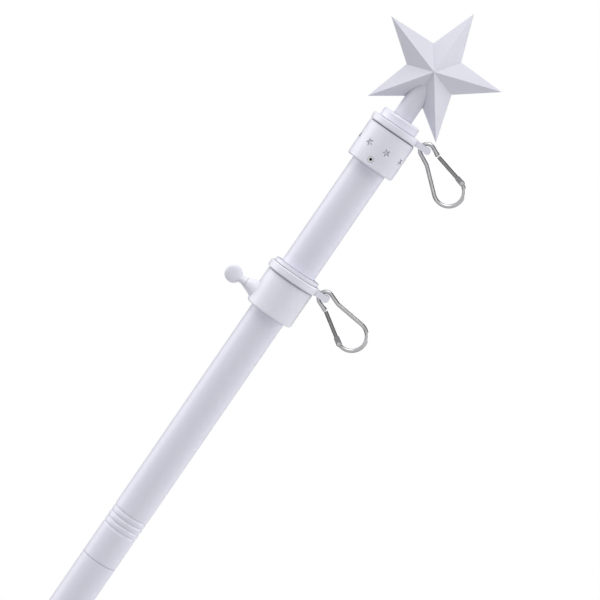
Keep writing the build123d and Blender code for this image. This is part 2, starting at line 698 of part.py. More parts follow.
def hook_body(plane):
    """Bent wire from the nose round the lug, down the spine and round to the eye."""
    reach = HOOK_CENTRE_DISTANCE - HOOK_KINK_REACH
    span = math.hypot(reach, HOOK_SMALL_RADIUS)
    flare = math.asin(HOOK_LARGE_RADIUS / span) - math.atan2(HOOK_SMALL_RADIUS, reach)
    flare_direction = Vector(math.cos(flare), -math.sin(flare))
    kink_reach = HOOK_KINK_RADIUS * math.tan(flare / 2)
    kink = Vector(HOOK_KINK_REACH, -HOOK_SMALL_RADIUS)
    kink_start = kink - Vector(kink_reach, 0)
    kink_end = kink + flare_direction * kink_reach
    kink_centre = kink_start - Vector(0, HOOK_KINK_RADIUS)
    large_centre = Vector(HOOK_CENTRE_DISTANCE, 0)
    tangent = large_centre - Vector(math.sin(flare), math.cos(flare)) * HOOK_LARGE_RADIUS
    small_start = Vector(0, HOOK_SMALL_RADIUS)
    large_turn = 90 + math.degrees(flare) + HOOK_EYE_ANGLE
    runs = [
        (Vector(HOOK_NOSE_REACH, HOOK_SMALL_RADIUS), small_start),
        (-small_start, kink_start),
        (kink_end, tangent),
    ]
    bends = [
        (small_start, Vector(0, 0), Vector(-1, 0), 180),
        (kink_start, kink_centre, Vector(1, 0), -math.degrees(flare)),
        (tangent, large_centre, flare_direction, large_turn),
    ]
    eye = eye_place()
    with BuildPart() as hook:
        for start, end in runs:
            across = Plane(origin=start, z_dir=end - start)
            with BuildSketch(plane * across.location):
                Circle(WIRE_DIAMETER / 2)
            extrude(amount=(end - start).length)
        for start, centre, heading, turn in bends:
            across = Plane(origin=start, z_dir=heading)
            with BuildSketch(plane * across.location):
                Circle(WIRE_DIAMETER / 2)
            spin = Axis(plane.from_local_coords(centre), plane.z_dir * math.copysign(1, turn))
            revolve(axis=spin, revolution_arc=abs(turn))
        nose = Plane(origin=runs[0][0], z_dir=runs[0][1] - runs[0][0])
        with BuildSketch(plane * nose.location):
            Circle(HOOK_NOSE_DIAMETER / 2)
        extrude(amount=HOOK_NOSE_LENGTH)
        nose_rim = hook.edges().filter_by(GeomType.CIRCLE).sort_by_distance(
            plane.from_local_coords(runs[0][0])
        )
        fillet(nose_rim[0], radius=HOOK_NOSE_ROUND)
        with BuildSketch(plane):
            with Locations((eye.X, eye.Y)):
                Circle(EYE_DIAMETER / 2)
        extrude(amount=EYE_THICKNESS / 2, both=True)
        for side in (1, -1):
            with BuildSketch(plane.offset(side * EYE_THICKNESS / 2)):
                with Locations((eye.X, eye.Y)):
                    Circle(EYE_DIAMETER / 2 + RUNNING_GAP)
            extrude(amount=side * WIRE_DIAMETER, mode=Mode.SUBTRACT)
        with BuildSketch(plane):
            with Locations((eye.X, eye.Y)):
                Circle(RIVET_DIAMETER / 2 + SLIP)
        extrude(amount=EYE_THICKNESS, both=True, mode=Mode.SUBTRACT)
    return hook.part


def gate_plane(plane):
    """The gate's own plane: origin on the rivet, X towards the hook's nose."""
    eye = eye_place()
    nose = Vector(HOOK_NOSE_REACH, HOOK_SMALL_RADIUS)
    along = nose - eye
    return Plane(
        origin=plane.from_local_coords(eye),
        x_dir=plane.x_dir * along.X + plane.y_dir * along.Y,
        z_dir=plane.z_dir,
    )


def hook_gate(plane):
    """A straight gate, forked over the eye."""
    own = gate_plane(plane)
    length = (Vector(HOOK_NOSE_REACH, HOOK_SMALL_RADIUS) - eye_place()).length - GATE_TIP_GAP
    rod_foot = EYE_DIAMETER / 2 + RUNNING_GAP
    cheek_foot = EYE_THICKNESS / 2 + SLIP
    across = Plane(origin=own.origin, x_dir=own.z_dir, z_dir=own.x_dir)
    with BuildPart() as gate:
        with BuildSketch(across.offset(rod_foot)):
            Circle(GATE_DIAMETER / 2)
        extrude(amount=length - rod_foot)
        for side in (1, -1):
            with BuildSketch(own.offset(side * cheek_foot)):
                with Locations((CHEEK_REACH / 2, 0)):
                    SlotCenterToCenter(CHEEK_REACH, CHEEK_DIAMETER)
                Circle(RIVET_DIAMETER / 2 + SLIP, mode=Mode.SUBTRACT)
            extrude(amount=side * CHEEK_THICKNESS)
    return gate.part


def hook_rivet(plane):
    """The rivet through the eye and the gate's cheeks."""
    own = gate_plane(plane)
    head_foot = EYE_THICKNESS / 2 + CHEEK_THICKNESS + 2 * SLIP
    with BuildPart() as rivet:
        with BuildSketch(own):
            Circle(RIVET_DIAMETER / 2)
        extrude(amount=head_foot, both=True)
        for side in (1, -1):
            with BuildSketch(own.offset(side * head_foot)):
                Circle(RIVET_HEAD_DIAMETER / 2)
            extrude(amount=side * RIVET_HEAD_THICKNESS)
    return rivet.part


for index in range(SECTION_COUNT):
    pieces[f"pole_section_{index + 1}"] = pole_section(index)
for index in range(1, SECTION_COUNT):
    pieces[f"pole_coupler_{index}"] = pole_coupler(index)

pieces["bracket_casting"] = bracket_casting()
for index, place in enumerate(wing_screw_places):
    pieces[f"wing_screw_{index + 1}"] = wing_screw(place, WING_SCREW_TURNS[index])

pieces["upper_collar"] = upper_collar()
pieces["collar_set_screw"] = collar_set_screw()
pieces["upper_ring"] = ring_with_lug(
    upper_ring_foot, UPPER_RING_DIAMETER, UPPER_RING_THICKNESS, CAP_NECK_DIAMETER / 2 + RUNNING_GAP
)
pieces["finial_cap"] = finial_cap()
pieces["star_finial"] = star_finial()

pieces["lower_collar"] = lower_collar()
pieces["lower_ring"] = ring_with_lug(
    lower_ring_foot, LOWER_RING_DIAMETER, LOWER_RING_THICKNESS, LOWER_NECK_DIAMETER / 2 + RUNNING_GAP
)
pieces["lower_retainer"] = turned(
    [
        (pole_radius + RUNNING_GAP, retainer_foot),
        (RETAINER_DIAMETER / 2, retainer_foot),
        (RETAINER_DIAMETER / 2, retainer_foot + RETAINER_THICKNESS),
        (pole_radius + RUNNING_GAP, retainer_foot + RETAINER_THICKNESS),
    ]
)
pieces["thumb_screw"] = thumb_screw()

hooks = {
    "upper_clip": hook_plane(upper_lug_height, UPPER_HOOK_ANGLE, 1),
    "lower_clip": hook_plane(lower_lug_height, LOWER_HOOK_ANGLE, -1),
}
for name, plane in hooks.items():
    pieces[f"{name}_hook"] = hook_body(plane)
    pieces[f"{name}_gate"] = hook_gate(plane)
    pieces[f"{name}_rivet"] = hook_rivet(plane)

os.makedirs("parts", exist_ok=True)
for name, piece in pieces.items():
    piece.label = name
    export_step(piece, f"parts/{name}.step")
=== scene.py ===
import json
import math

import bmesh
import bpy
from bpy.props import FloatProperty, FloatVectorProperty, IntProperty, PointerProperty
from mathutils import Matrix, Vector


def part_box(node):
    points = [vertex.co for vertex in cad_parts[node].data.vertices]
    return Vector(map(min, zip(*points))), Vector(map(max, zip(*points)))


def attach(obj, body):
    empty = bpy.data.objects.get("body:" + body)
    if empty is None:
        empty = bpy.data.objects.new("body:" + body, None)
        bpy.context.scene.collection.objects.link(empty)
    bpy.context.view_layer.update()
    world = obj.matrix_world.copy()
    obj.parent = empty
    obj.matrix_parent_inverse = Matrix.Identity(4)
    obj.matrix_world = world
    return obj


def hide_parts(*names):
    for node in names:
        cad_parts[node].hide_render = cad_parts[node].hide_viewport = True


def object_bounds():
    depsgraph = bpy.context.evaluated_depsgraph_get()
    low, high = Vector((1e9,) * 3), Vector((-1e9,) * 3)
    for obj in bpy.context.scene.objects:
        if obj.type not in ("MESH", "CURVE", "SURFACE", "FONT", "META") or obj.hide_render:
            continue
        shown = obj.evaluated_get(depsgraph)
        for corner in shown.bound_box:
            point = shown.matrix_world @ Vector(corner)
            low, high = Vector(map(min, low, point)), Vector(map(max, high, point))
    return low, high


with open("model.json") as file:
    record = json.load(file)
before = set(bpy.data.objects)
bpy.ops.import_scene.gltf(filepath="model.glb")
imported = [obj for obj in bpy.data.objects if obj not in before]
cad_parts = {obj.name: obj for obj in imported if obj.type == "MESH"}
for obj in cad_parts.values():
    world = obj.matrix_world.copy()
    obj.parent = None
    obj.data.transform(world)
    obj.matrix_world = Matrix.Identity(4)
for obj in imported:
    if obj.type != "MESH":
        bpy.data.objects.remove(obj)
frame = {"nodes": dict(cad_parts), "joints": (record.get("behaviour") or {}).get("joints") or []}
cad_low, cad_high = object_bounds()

bl_info = {
    "name": "House Flagpole Dressing",
    "version": (1, 0, 0),
    "blender": (4, 5, 0),
    "location": "View3D > Sidebar > Flagpole",
    "description": "Finishes, screw details and studio for a house flagpole in its wall bracket",
    "category": "Object",
}

MM = 0.001

# The pole's own directions, from the ring that spins on it
joints = {joint["name"]: joint for joint in frame["joints"]}
pole_direction = Vector(joints["lower_ring_spin"]["axis"]).normalized()
camera_side = Vector((0, -1, 0))
lug_direction = pole_direction.cross(camera_side)
lower_ring_centre = Vector(joints["lower_ring_spin"]["pos_m"])

POLE_SECTIONS = [name for name in frame["nodes"] if name.startswith("pole_section")]
POLE_COUPLERS = [name for name in frame["nodes"] if name.startswith("pole_coupler")]
WING_SCREWS = [name for name in frame["nodes"] if name.startswith("wing_screw")]
CLIP_NODES = [name for name in frame["nodes"] if "_clip_" in name]
CLIP_GATES = [name for name in CLIP_NODES if name.endswith("gate")]
# The ring and cap get a lighter painted shade in their joints than the collar
TOP_LIGHT_SHADE_NODES = ["upper_ring", "finial_cap"]
SLIDER_NODES = ["lower_collar", "lower_ring", "lower_retainer", "thumb_screw"]

# Noise octaves of the drift in a tone, of a coat's grain and of a metal's scratches
CLOUD_DETAIL = 3.0
GRAIN_DETAIL = 4.0
SCRATCH_DETAIL = 5.0
SCRATCH_DEPTH_MM = 0.003
# Painted shade darkens a surface within this reach of other surfaces, found with this many occlusion rays
PAINTED_SHADE_REACH_MM = 1.2
PAINTED_SHADE_SAMPLES = 8
# The paper begins to fade at the first share of its radius, and is gone at the second
FADE_SHARES = (0.35, 0.95)

# Mesh steps along each small form and round it
RIM_STEPS = 48
RIM_SEGMENTS = 10
BEAD_CORNER_STEPS = 5
BEAD_SEGMENTS = 14
SCREW_END_SEGMENTS = 36
STUD_SEGMENTS = 24
NECK_STEPS = 24
PADDLE_STEPS = 22
PADDLE_STEP = math.radians(4)
MOULDING_SEGMENTS = 40
SOCKET_SIDES = 6
FLOOR_SEGMENTS = 96
SIDE_FACE_CORNERS = 4

# Height and radius as shares of the recess and of the screw's end: a bevelled end with a turned ring
SCREW_END_SHARES = ((-0.2, 1.0), (0.5, 1.0), (0.85, 0.84), (0.85, 0.6), (0.65, 0.54), (0.65, 0.2))
BEAD_NOSE_SHARE = 0.6
THREAD_FLANK_SHARE = 0.45
STUD_LENGTH_SHARE = 2
WING_TIP_SLACK_MM = 0.01
# How sharply the thumb screw's neck flares, its paddle grows out of the neck, and its edge rounds off
FLARE_POWER = 2
JOIN_POWER = 3
EDGE_POWER = 4

# Where lamps and cards stand, as shares of the picture's right, its up and the way back to the camera
LAMP_SHARES = {
    "key": (0.25, 0.88, 0.4),
    "side": (-0.82, 0.57, -0.15),
    "fill": (0.9, -0.25, -0.15),
}
CARD_SHARES = {
    "upper_card": (0.77, 0.64, 0.0),
    "lower_card": (-0.77, -0.64, 0.0),
    "rear_card": (0.0, 0.0, -1.0),
}


def linear(hex_colour):
    """An sRGB hex colour as linear RGBA."""
    channels = [int(hex_colour[i:i + 2], 16) / 255 for i in (1, 3, 5)]
    straight = [c / 12.92 if c <= 0.04045 else ((c + 0.055) / 1.055) ** 2.4 for c in channels]
    return (*straight, 1.0)


def per_metre(size_mm):
    """The texture scale at which one cell of a pattern is this many millimetres."""
    return 1 / (size_mm * MM)


def add_node(tree, kind, settings=None, links=None):
    """Adds a node, sets its sockets or properties by name, and links sockets to outputs."""
    node = tree.nodes.new(kind)
    for name, value in (settings or {}).items():
        if name in node.inputs:
            node.inputs[name].default_value = value
        else:
            setattr(node, name, value)
    for name, source in (links or {}).items():
        tree.links.new(source, node.inputs[name])
    return node


def new_material(name):
    """An empty node material and its tree."""
    material = bpy.data.materials.new(name)
    material.use_nodes = True
    material.node_tree.nodes.clear()
    return material, material.node_tree


def dress(names, material):
    """Gives CAD nodes a finish."""
    for name in names:
        slots = frame["nodes"][name].data.materials
        slots.clear()
        slots.append(material)


def grained_surface(tree, colour, shade, cloud_mm, grain_mm, grain_depth_mm, detail, roughness, spread):
    """A tone that drifts slowly into a shade, and fine grain in the gloss and in the relief."""
    place = add_node(tree, "ShaderNodeTexCoord").outputs["Object"]
    cloud = add_node(
        tree,
        "ShaderNodeTexNoise",
        {"Scale": per_metre(cloud_mm), "Detail": CLOUD_DETAIL},
        {"Vector": place},
    )
    # Real mould texture, spray grain and scratches are finer, and are drawn coarse enough to show
    grain = add_node(
        tree,
        "ShaderNodeTexNoise",
        {"Scale": per_metre(grain_mm), "Detail": detail},
        {"Vector": place},
    )
    tone = add_node(
        tree,
        "ShaderNodeMix",
        {"data_type": "RGBA", "A": colour, "B": shade},
        {"Factor": cloud.outputs["Fac"]},
    )
    gloss = add_node(
        tree,
        "ShaderNodeMapRange",
        {"To Min": roughness - spread, "To Max": roughness + spread},
        {"Value": grain.outputs["Fac"]},
    )
    relief = add_node(
        tree,
        "ShaderNodeBump",
        {"Strength": 1.0, "Distance": grain_depth_mm * MM},
        {"Height": grain.outputs["Fac"]},
    )
    return tone.outputs["Result"], gloss.outputs["Result"], relief.outputs["Normal"]


def white_coat(name, colour, shade, painted_shade, cloud_mm, grain_mm, grain_depth_mm, roughness, spread, ior):
    """A white skin with fine grain, and painted shade in its hollows."""
    if name in bpy.data.materials:
        return bpy.data.materials[name]
    material, tree = new_material(name)
    tone, gloss, relief = grained_surface(
        tree, colour, shade, cloud_mm, grain_mm, grain_depth_mm, GRAIN_DETAIL, roughness, spread
    )
    # Painted shade: the tone darkens towards a grey in the narrow gaps and hollows, where shade falls
    hollow = add_node(
        tree, "ShaderNodeAmbientOcclusion", {"Distance": PAINTED_SHADE_REACH_MM * MM, "samples": PAINTED_SHADE_SAMPLES}
    )
    tone_with_painted_shade = add_node(
        tree,
        "ShaderNodeMix",
        {"data_type": "RGBA", "A": painted_shade},
        {"Factor": hollow.outputs["AO"], "B": tone},
    )
    shader = add_node(
        tree,
        "ShaderNodeBsdfPrincipled",
        {"IOR": ior},
        {"Base Color": tone_with_painted_shade.outputs["Result"], "Roughness": gloss, "Normal": relief},
    )
    add_node(tree, "ShaderNodeOutputMaterial", links={"Surface": shader.outputs["BSDF"]})
    return material


def powder_coated_steel(colour):
    """Sprayed and baked polyester on drawn tube: an even satin skin with a faint orange peel."""
    # The grey is painted shade in the tube's seams and grooves
    return white_coat(
        "powder_coated_steel_tube", colour, shade=linear("#E6E6F4"), painted_shade=linear("#70707A"),
        cloud_mm=90, grain_mm=1.4, grain_depth_mm=0.02, roughness=0.34, spread=0.04, ior=1.5,
    )


def powder_coated_casting(colour):
    """Powder on sand-blasted cast aluminium: the casting's grain shows through the coat."""
    # The grey is painted shade in the casting's corners and gaps
    return white_coat(
        "powder_coated_cast_aluminium", colour, shade=linear("#E6E6EC"), painted_shade=linear("#80808A"),
        cloud_mm=30, grain_mm=1.1, grain_depth_mm=0.06, roughness=0.36, spread=0.08, ior=1.5,
    )


def moulded_plastic(name, colour, shade, painted_shade, ior):
    """An injection moulding: smooth, with the faint texture of its mould."""
    # painted_shade is the grey painted into its gaps and hollows as shade
    return white_coat(
        name, colour, shade=linear(shade), painted_shade=linear(painted_shade),
        cloud_mm=25, grain_mm=0.9, grain_depth_mm=0.012, roughness=0.32, spread=0.05, ior=ior,
    )


def moulded_abs(colour):
    """ABS with a lavender cast: smooth, with dark painted shade in its small recesses."""
    return moulded_plastic("moulded_abs", colour, shade="#EBEBF9", painted_shade="#5E5E6C", ior=1.54)


def abs_with_light_painted_shade(colour):
    """The same ABS on the ring, which turns, and on the cap over it: a lighter painted shade in their
    joints.
    """
    return moulded_plastic("polished_moulded_abs", colour, shade="#EBEBF9", painted_shade="#B4B4BE", ior=1.54)


def moulded_nylon(colour):
    """Nylon of the sliding collar: whiter than the top, with only a light painted shade in its joints."""
    return moulded_plastic("moulded_nylon", colour, shade="#EEEEFA", painted_shade="#C4C4CC", ior=1.53)


def painted_star(colour):
    """Matt paint over a moulded star: the flat facets show a fine spray grain."""
    # The grey is painted shade in the star's hollows
    return white_coat(
        "painted_abs_star", colour, shade=linear("#DEDEEA"), painted_shade=linear("#A0A0AA"),
        cloud_mm=40, grain_mm=1.0, grain_depth_mm=0.02, roughness=0.5, spread=0.06, ior=1.5,
    )


def bare_metal(name, colour, shade, cloud_mm, scratch_mm, roughness, spread):
    """A plated or tumbled metal: its tone drifts, and its gloss has fine scratches."""
    if name in bpy.data.materials:
        return bpy.data.materials[name]
    material, tree = new_material(name)
    tone, gloss, relief = grained_surface(
        tree, colour, linear(shade), cloud_mm, scratch_mm, SCRATCH_DEPTH_MM, SCRATCH_DETAIL,
        roughness, spread,
    )
    shader = add_node(
        tree,
        "ShaderNodeBsdfPrincipled",
        {"Metallic": 1.0},
        {"Base Color": tone, "Roughness": gloss, "Normal": relief},
    )
    add_node(tree, "ShaderNodeOutputMaterial", links={"Surface": shader.outputs["BSDF"]})
    return material


def zinc_plated_steel(colour):
    """Bright zinc over a stamped screw: mirror-like, with a grey drift."""
    return bare_metal(
        "zinc_plated_steel", colour, "#B9B9BC", cloud_mm=6, scratch_mm=0.5, roughness=0.17, spread=0.05
    )


def nickel_plated_wire(colour):
    """Nickel over bent spring wire: a darker, duller mirror than zinc."""
    return bare_metal(
        "nickel_plated_wire", colour, "#A2A2A4", cloud_mm=5, scratch_mm=0.4, roughness=0.2, spread=0.05
    )


def darker_gate_metal():
    """Metal of the gates: duller and darker than the plated wire beside it."""
    colour = linear("#8E8E90")
    return bare_metal(
        "stainless_steel_gate", colour, "#78787A", cloud_mm=4, scratch_mm=0.4, roughness=0.26, spread=0.06
    )


def galvanised_steel():
    """Galvanised inner tube: a dull grey metal."""
    colour = linear("#9C9EA0")
    return bare_metal(
        "galvanised_steel", colour, "#808284", cloud_mm=8, scratch_mm=0.8, roughness=0.45, spread=0.1
    )


def socket_painted_shade():
    """Near-black metal of the disc in the set screw's socket, painted shade for its floor: dark, with a
    faint gloss.
    """
    colour = linear("#1A1A1C")
    return bare_metal(
        "black_oxide_steel", colour, "#101012", cloud_mm=1, scratch_mm=0.2, roughness=0.4, spread=0.1
    )


def black_felt():
    """Matt black felt of the cards, which only darkens what gloss sees."""
    name = "black_felt"
    if name in bpy.data.materials:
        return bpy.data.materials[name]
    material, tree = new_material(name)
    felt = add_node(tree, "ShaderNodeBsdfDiffuse", {"Color": linear("#1E1E1E")})
    add_node(tree, "ShaderNodeOutputMaterial", links={"Surface": felt.outputs["BSDF"]})
    return material


def seen_directly(tree):
    """Tells rays that the eye, a reflection or a clear body sends from the rays that carry light."""
    path = add_node(tree, "ShaderNodeLightPath")
    sees = path.outputs["Is Camera Ray"]
    for ray in ("Is Glossy Ray", "Is Transmission Ray"):
        joined = add_node(tree, "ShaderNodeMath", {"operation": "MAXIMUM"})
        tree.links.new(sees, joined.inputs[0])
        tree.links.new(path.outputs[ray], joined.inputs[1])
        sees = joined.outputs["Value"]
    return sees


def studio_paper():
    """Matt white paper under the pole that fades, to the eye alone, into the white all round it."""
    stage = bpy.context.scene.flagpole_stage
    material, tree = new_material("studio_paper")
    # Its glow lights nothing, so it doesn't take part in the lighting
    material.cycles.emission_sampling = "NONE"
    place = add_node(tree, "ShaderNodeTexCoord").outputs["Object"]
    distance = add_node(tree, "ShaderNodeVectorMath", {"operation": "LENGTH"})
    tree.links.new(place, distance.inputs[0])
    start, end = [share * stage.floor_radius for share in FADE_SHARES]
    fade = add_node(
        tree,
        "ShaderNodeMapRange",
        {"From Min": start, "From Max": end},
        {"Value": distance.outputs["Value"]},
    )
    seen_fade = add_node(tree, "ShaderNodeMath", {"operation": "MULTIPLY"})
    tree.links.new(fade.outputs["Result"], seen_fade.inputs[0])
    tree.links.new(seen_directly(tree), seen_fade.inputs[1])
    paper = add_node(tree, "ShaderNodeBsdfDiffuse", {"Color": linear("#F4F4F4")})
    glow = add_node(tree, "ShaderNodeEmission", {"Strength": 1.0})
    mix = add_node(tree, "ShaderNodeMixShader", links={"Fac": seen_fade.outputs["Value"]})
    tree.links.new(paper.outputs["BSDF"], mix.inputs[1])
    tree.links.new(glow.outputs["Emission"], mix.inputs[2])
    add_node(tree, "ShaderNodeOutputMaterial", links={"Surface": mix.outputs["Shader"]})
    return material


class FlagpoleFinishes(bpy.types.PropertyGroup):
    """Colours of the painted, moulded and plated surfaces."""

    tube: FloatVectorProperty(
        name="Tube", description="Powder coat of the pole's tubes", subtype="COLOR", size=4,
        default=linear("#F0F0FC"),
    )
    casting: FloatVectorProperty(
        name="Bracket", description="Powder coat of the cast bracket", subtype="COLOR", size=4,
        default=linear("#F0F0F5"),
    )
    plastic: FloatVectorProperty(
        name="Top", description="Moulded plastic of the collar, ring and cap at the top",
        subtype="COLOR", size=4, default=linear("#F5F5FF"),
    )
    slider: FloatVectorProperty(
        name="Slider", description="Moulded plastic of the sliding collar and its ring",
        subtype="COLOR", size=4, default=linear("#F7F7FF"),
    )
    star: FloatVectorProperty(
        name="Star", description="Paint of the star", subtype="COLOR", size=4,
        default=linear("#E8E8F2"),
    )
    zinc: FloatVectorProperty(
        name="Screws", description="Zinc plate of the screws", subtype="COLOR", size=4,
        default=linear("#DCDCDE"),
    )
    nickel: FloatVectorProperty(
        name="Clips", description="Nickel plate of the snap hooks", subtype="COLOR", size=4,
        default=linear("#C4C4C6"),
    )


class FlagpoleTrims(bpy.types.PropertyGroup):
    """Sizes of the small things that are added to the solids."""

    thread_pitch: FloatProperty(
        name="Thread pitch", description="Distance between the wing screws' thread crests",
        unit="LENGTH", default=1.3 * MM,
    )
    thread_height: FloatProperty(
        name="Thread height", description="How far a crest stands out of the screw's core",
        unit="LENGTH", default=0.25 * MM,
    )
    thread_steps: IntProperty(
        name="Thread steps", description="Mesh steps in one turn of thread", default=28,
    )
    screw_radius: FloatProperty(
        name="Screw radius", description="Radius of the wing screws' shafts", unit="LENGTH",
        default=3.0 * MM,
    )
    screw_head: FloatProperty(
        name="Screw head", description="Depth of a wing screw's hub and wings together", unit="LENGTH",
        default=17.7 * MM,
    )
    hub_length: FloatProperty(
        name="Hub length", description="Length of a wing screw's hub", unit="LENGTH", default=8.0 * MM,
    )
    hub_radius: FloatProperty(
        name="Hub radius", description="Radius of a wing screw's hub", unit="LENGTH", default=5.3 * MM,
    )
    hub_rim: FloatProperty(
        name="Hub rim", description="Radius of the rolled rim round the hub's end", unit="LENGTH",
        default=0.6 * MM,
    )
    hub_recess: FloatProperty(
        name="Hub recess", description="How deep the screw's end sits in the hub", unit="LENGTH",
        default=1.2 * MM,
    )
    screw_end: FloatProperty(
        name="Screw end", description="Radius of the screw's end in the hub", unit="LENGTH",
        default=2.6 * MM,
    )
    wing_rise: FloatProperty(
        name="Wing rise", description="Slope of the wings away from the bracket", subtype="ANGLE",
        default=math.radians(42),
    )
    wing_root: FloatProperty(
        name="Wing root", description="From the screw's axis to where a wing begins", unit="LENGTH",
        default=2.0 * MM,
    )
    wing_length: FloatProperty(
        name="Wing length", description="From a wing's beginning to its tip", unit="LENGTH",
        default=17.0 * MM,
    )
    wing_width: FloatProperty(
        name="Wing width", description="Width of a wing", unit="LENGTH", default=8.0 * MM,
    )
    wing_bead: FloatProperty(
        name="Wing bead", description="Radius of the stamped bead along a wing's edge", unit="LENGTH",
        default=1.5 * MM,
    )
    wing_corner: FloatProperty(
        name="Wing corner", description="Radius of the bead's bend at a wing's tip", unit="LENGTH",
        default=1.2 * MM,
    )
    thumb_foot: FloatProperty(
        name="Thumb foot", description="From the pole's middle to the foot of the thumb screw's neck",
        unit="LENGTH", default=24.1 * MM,
    )
    thumb_stud: FloatProperty(
        name="Thumb stud", description="Radius of the stud that presses on the pole", unit="LENGTH",
        default=2.0 * MM,
    )
    thumb_flare: FloatProperty(
        name="Thumb flare", description="Radius of the thumb screw's neck at its foot", unit="LENGTH",
        default=3.5 * MM,
    )
    thumb_neck: FloatProperty(
        name="Thumb neck", description="Radius of the thumb screw's neck at its waist", unit="LENGTH",
        default=2.7 * MM,
    )
    paddle_reach: FloatProperty(
        name="Paddle reach", description="From the pole's middle to the middle of the thumb screw's paddle",
        unit="LENGTH", default=34.4 * MM,
    )
    paddle_radius: FloatProperty(
        name="Paddle radius", description="Radius of the thumb screw's paddle", unit="LENGTH",
        default=6.0 * MM,
    )
    paddle_crown: FloatProperty(
        name="Paddle crown", description="Half the paddle's thickness at its middle", unit="LENGTH",
        default=1.7 * MM,
    )
    socket_radius: FloatProperty(
        name="Socket radius", description="Radius of the set screw's six-sided socket, to its corners",
        unit="LENGTH", default=1.05 * MM,
    )
    socket_depth: FloatProperty(
        name="Socket depth", description="From the set screw's end to the dark floor of its socket",
        unit="LENGTH", default=0.8 * MM,
    )


class FlagpoleStage(bpy.types.PropertyGroup):
    """Camera, lamps, dark cards and floor."""

    slant: FloatProperty(
        name="Slant", description="The pole's slope in the picture", subtype="ANGLE",
        default=math.radians(55.5),
    )
    rise: FloatProperty(
        name="Rise", description="How far the camera looks down along the pole", subtype="ANGLE",
        default=math.radians(4.6),
    )
    distance: FloatProperty(
        name="Distance", description="From the camera to the pole", unit="LENGTH", default=2.0,
    )
    frame_width: FloatProperty(
        name="Frame width", description="Width of the picture at the pole", unit="LENGTH",
        default=401 * MM,
    )
    aim_along: FloatProperty(
        name="Aim along", description="Picture centre along the pole from the lower ring",
        unit="LENGTH", default=-10.4 * MM,
    )
    aim_out: FloatProperty(
        name="Aim out", description="Picture centre to the lugs' side of the pole",
        unit="LENGTH", default=12.3 * MM,
    )
    ambient: FloatProperty(
        name="Ambient", description="Strength of the even light from all round", default=0.395,
    )
    key: FloatProperty(
        name="Key", description="Power of the lamp over the picture", unit="POWER", default=101.0,
    )
    side: FloatProperty(
        name="Side", description="Power of the lamp at the picture's left", unit="POWER", default=60.0,
    )
    fill: FloatProperty(
        name="Fill", description="Power of the lamp at the picture's right", unit="POWER", default=103.0,
    )
    lamp_distance: FloatProperty(
        name="Lamp distance", description="From the lamps to the part", unit="LENGTH", default=4.0,
    )
    lamp_size: FloatProperty(
        name="Lamp size", description="Side of each square lamp", unit="LENGTH", default=3.2,
    )
    card_distance: FloatProperty(
        name="Card distance", description="From the dark cards to the part", unit="LENGTH", default=5.0,
    )
    card_size: FloatProperty(
        name="Card size", description="Side of each dark card", unit="LENGTH", default=6.0,
    )
    floor_drop: FloatProperty(
        name="Floor drop", description="From the part's lowest point to the floor",
        unit="LENGTH", default=0.3,
    )
    floor_radius: FloatProperty(
        name="Floor radius", description="Radius of the paper floor", unit="LENGTH", default=2.5,
    )


class FLAGPOLE_OT_dress_pole(bpy.types.Operator):
    """Coats the tubes and finishes the couplers inside them"""

    bl_idname = "flagpole.dress_pole"
    bl_label = "Tubes"

    def execute(self, context):
        finishes = context.scene.flagpole_finishes
        dress(POLE_SECTIONS, powder_coated_steel(finishes.tube))
        dress(POLE_COUPLERS, galvanised_steel())
        return {"FINISHED"}


class FLAGPOLE_OT_dress_bracket(bpy.types.Operator):
    """Coats the cast bracket"""

    bl_idname = "flagpole.dress_bracket"
    bl_label = "Bracket"

    def execute(self, context):
        dress(["bracket_casting"], powder_coated_casting(context.scene.flagpole_finishes.casting))
        return {"FINISHED"}


def skin(mesh, rings, closed=False):
    """Joins rings of points into a surface, with its ends closed or joined to each other."""
    pairs = list(zip(rings, rings[1:]))
    if closed:
        pairs.append((rings[-1], rings[0]))
    else:
        mesh.faces.new(rings[0][::-1])
        mesh.faces.new(rings[-1])
    for before, after in pairs:
        for i in range(len(before)):
            j = (i + 1) % len(before)
            mesh.faces.new((before[i], before[j], after[j], after[i]))


def circle(mesh, centre, first, second, radius, segments):
    """A ring of points round a centre, in the plane of two directions."""
    angles = [2 * math.pi * i / segments for i in range(segments)]
    return [mesh.verts.new(centre + (first * math.cos(a) + second * math.sin(a)) * radius) for a in angles]


def object_from(mesh, name):
    """Puts a finished mesh into the scene as an object."""
    data = bpy.data.meshes.new(name)
    mesh.to_mesh(data)
    mesh.free()
    made = bpy.data.objects.new(name, data)
    bpy.context.scene.collection.objects.link(made)
    return made


def closed_piece(mesh, name, smooth):
    """Turns a closed mesh's faces outward, shades its sides and makes an object of it."""
    bmesh.ops.recalc_face_normals(mesh, faces=mesh.faces[:])
    for face in mesh.faces:
        # A cap has more corners than the sides, and stays flat
        face.smooth = smooth and len(face.verts) <= SIDE_FACE_CORNERS
    return object_from(mesh, name)


def wing_direction(name, middle, axis):
    """The way one wing of a screw points, seen along the screw."""
    offsets = []
    for vertex in frame["nodes"][name].data.vertices:
        offset = vertex.co - middle
        offsets.append(offset - axis * offset.dot(axis))
    far = max(offsets, key=lambda offset: offset.length)
    least = far.length - WING_TIP_SLACK_MM * MM
    tips = [offset for offset in offsets if offset.dot(far) > 0 and offset.length > least]
    return sum(tips, Vector()).normalized()


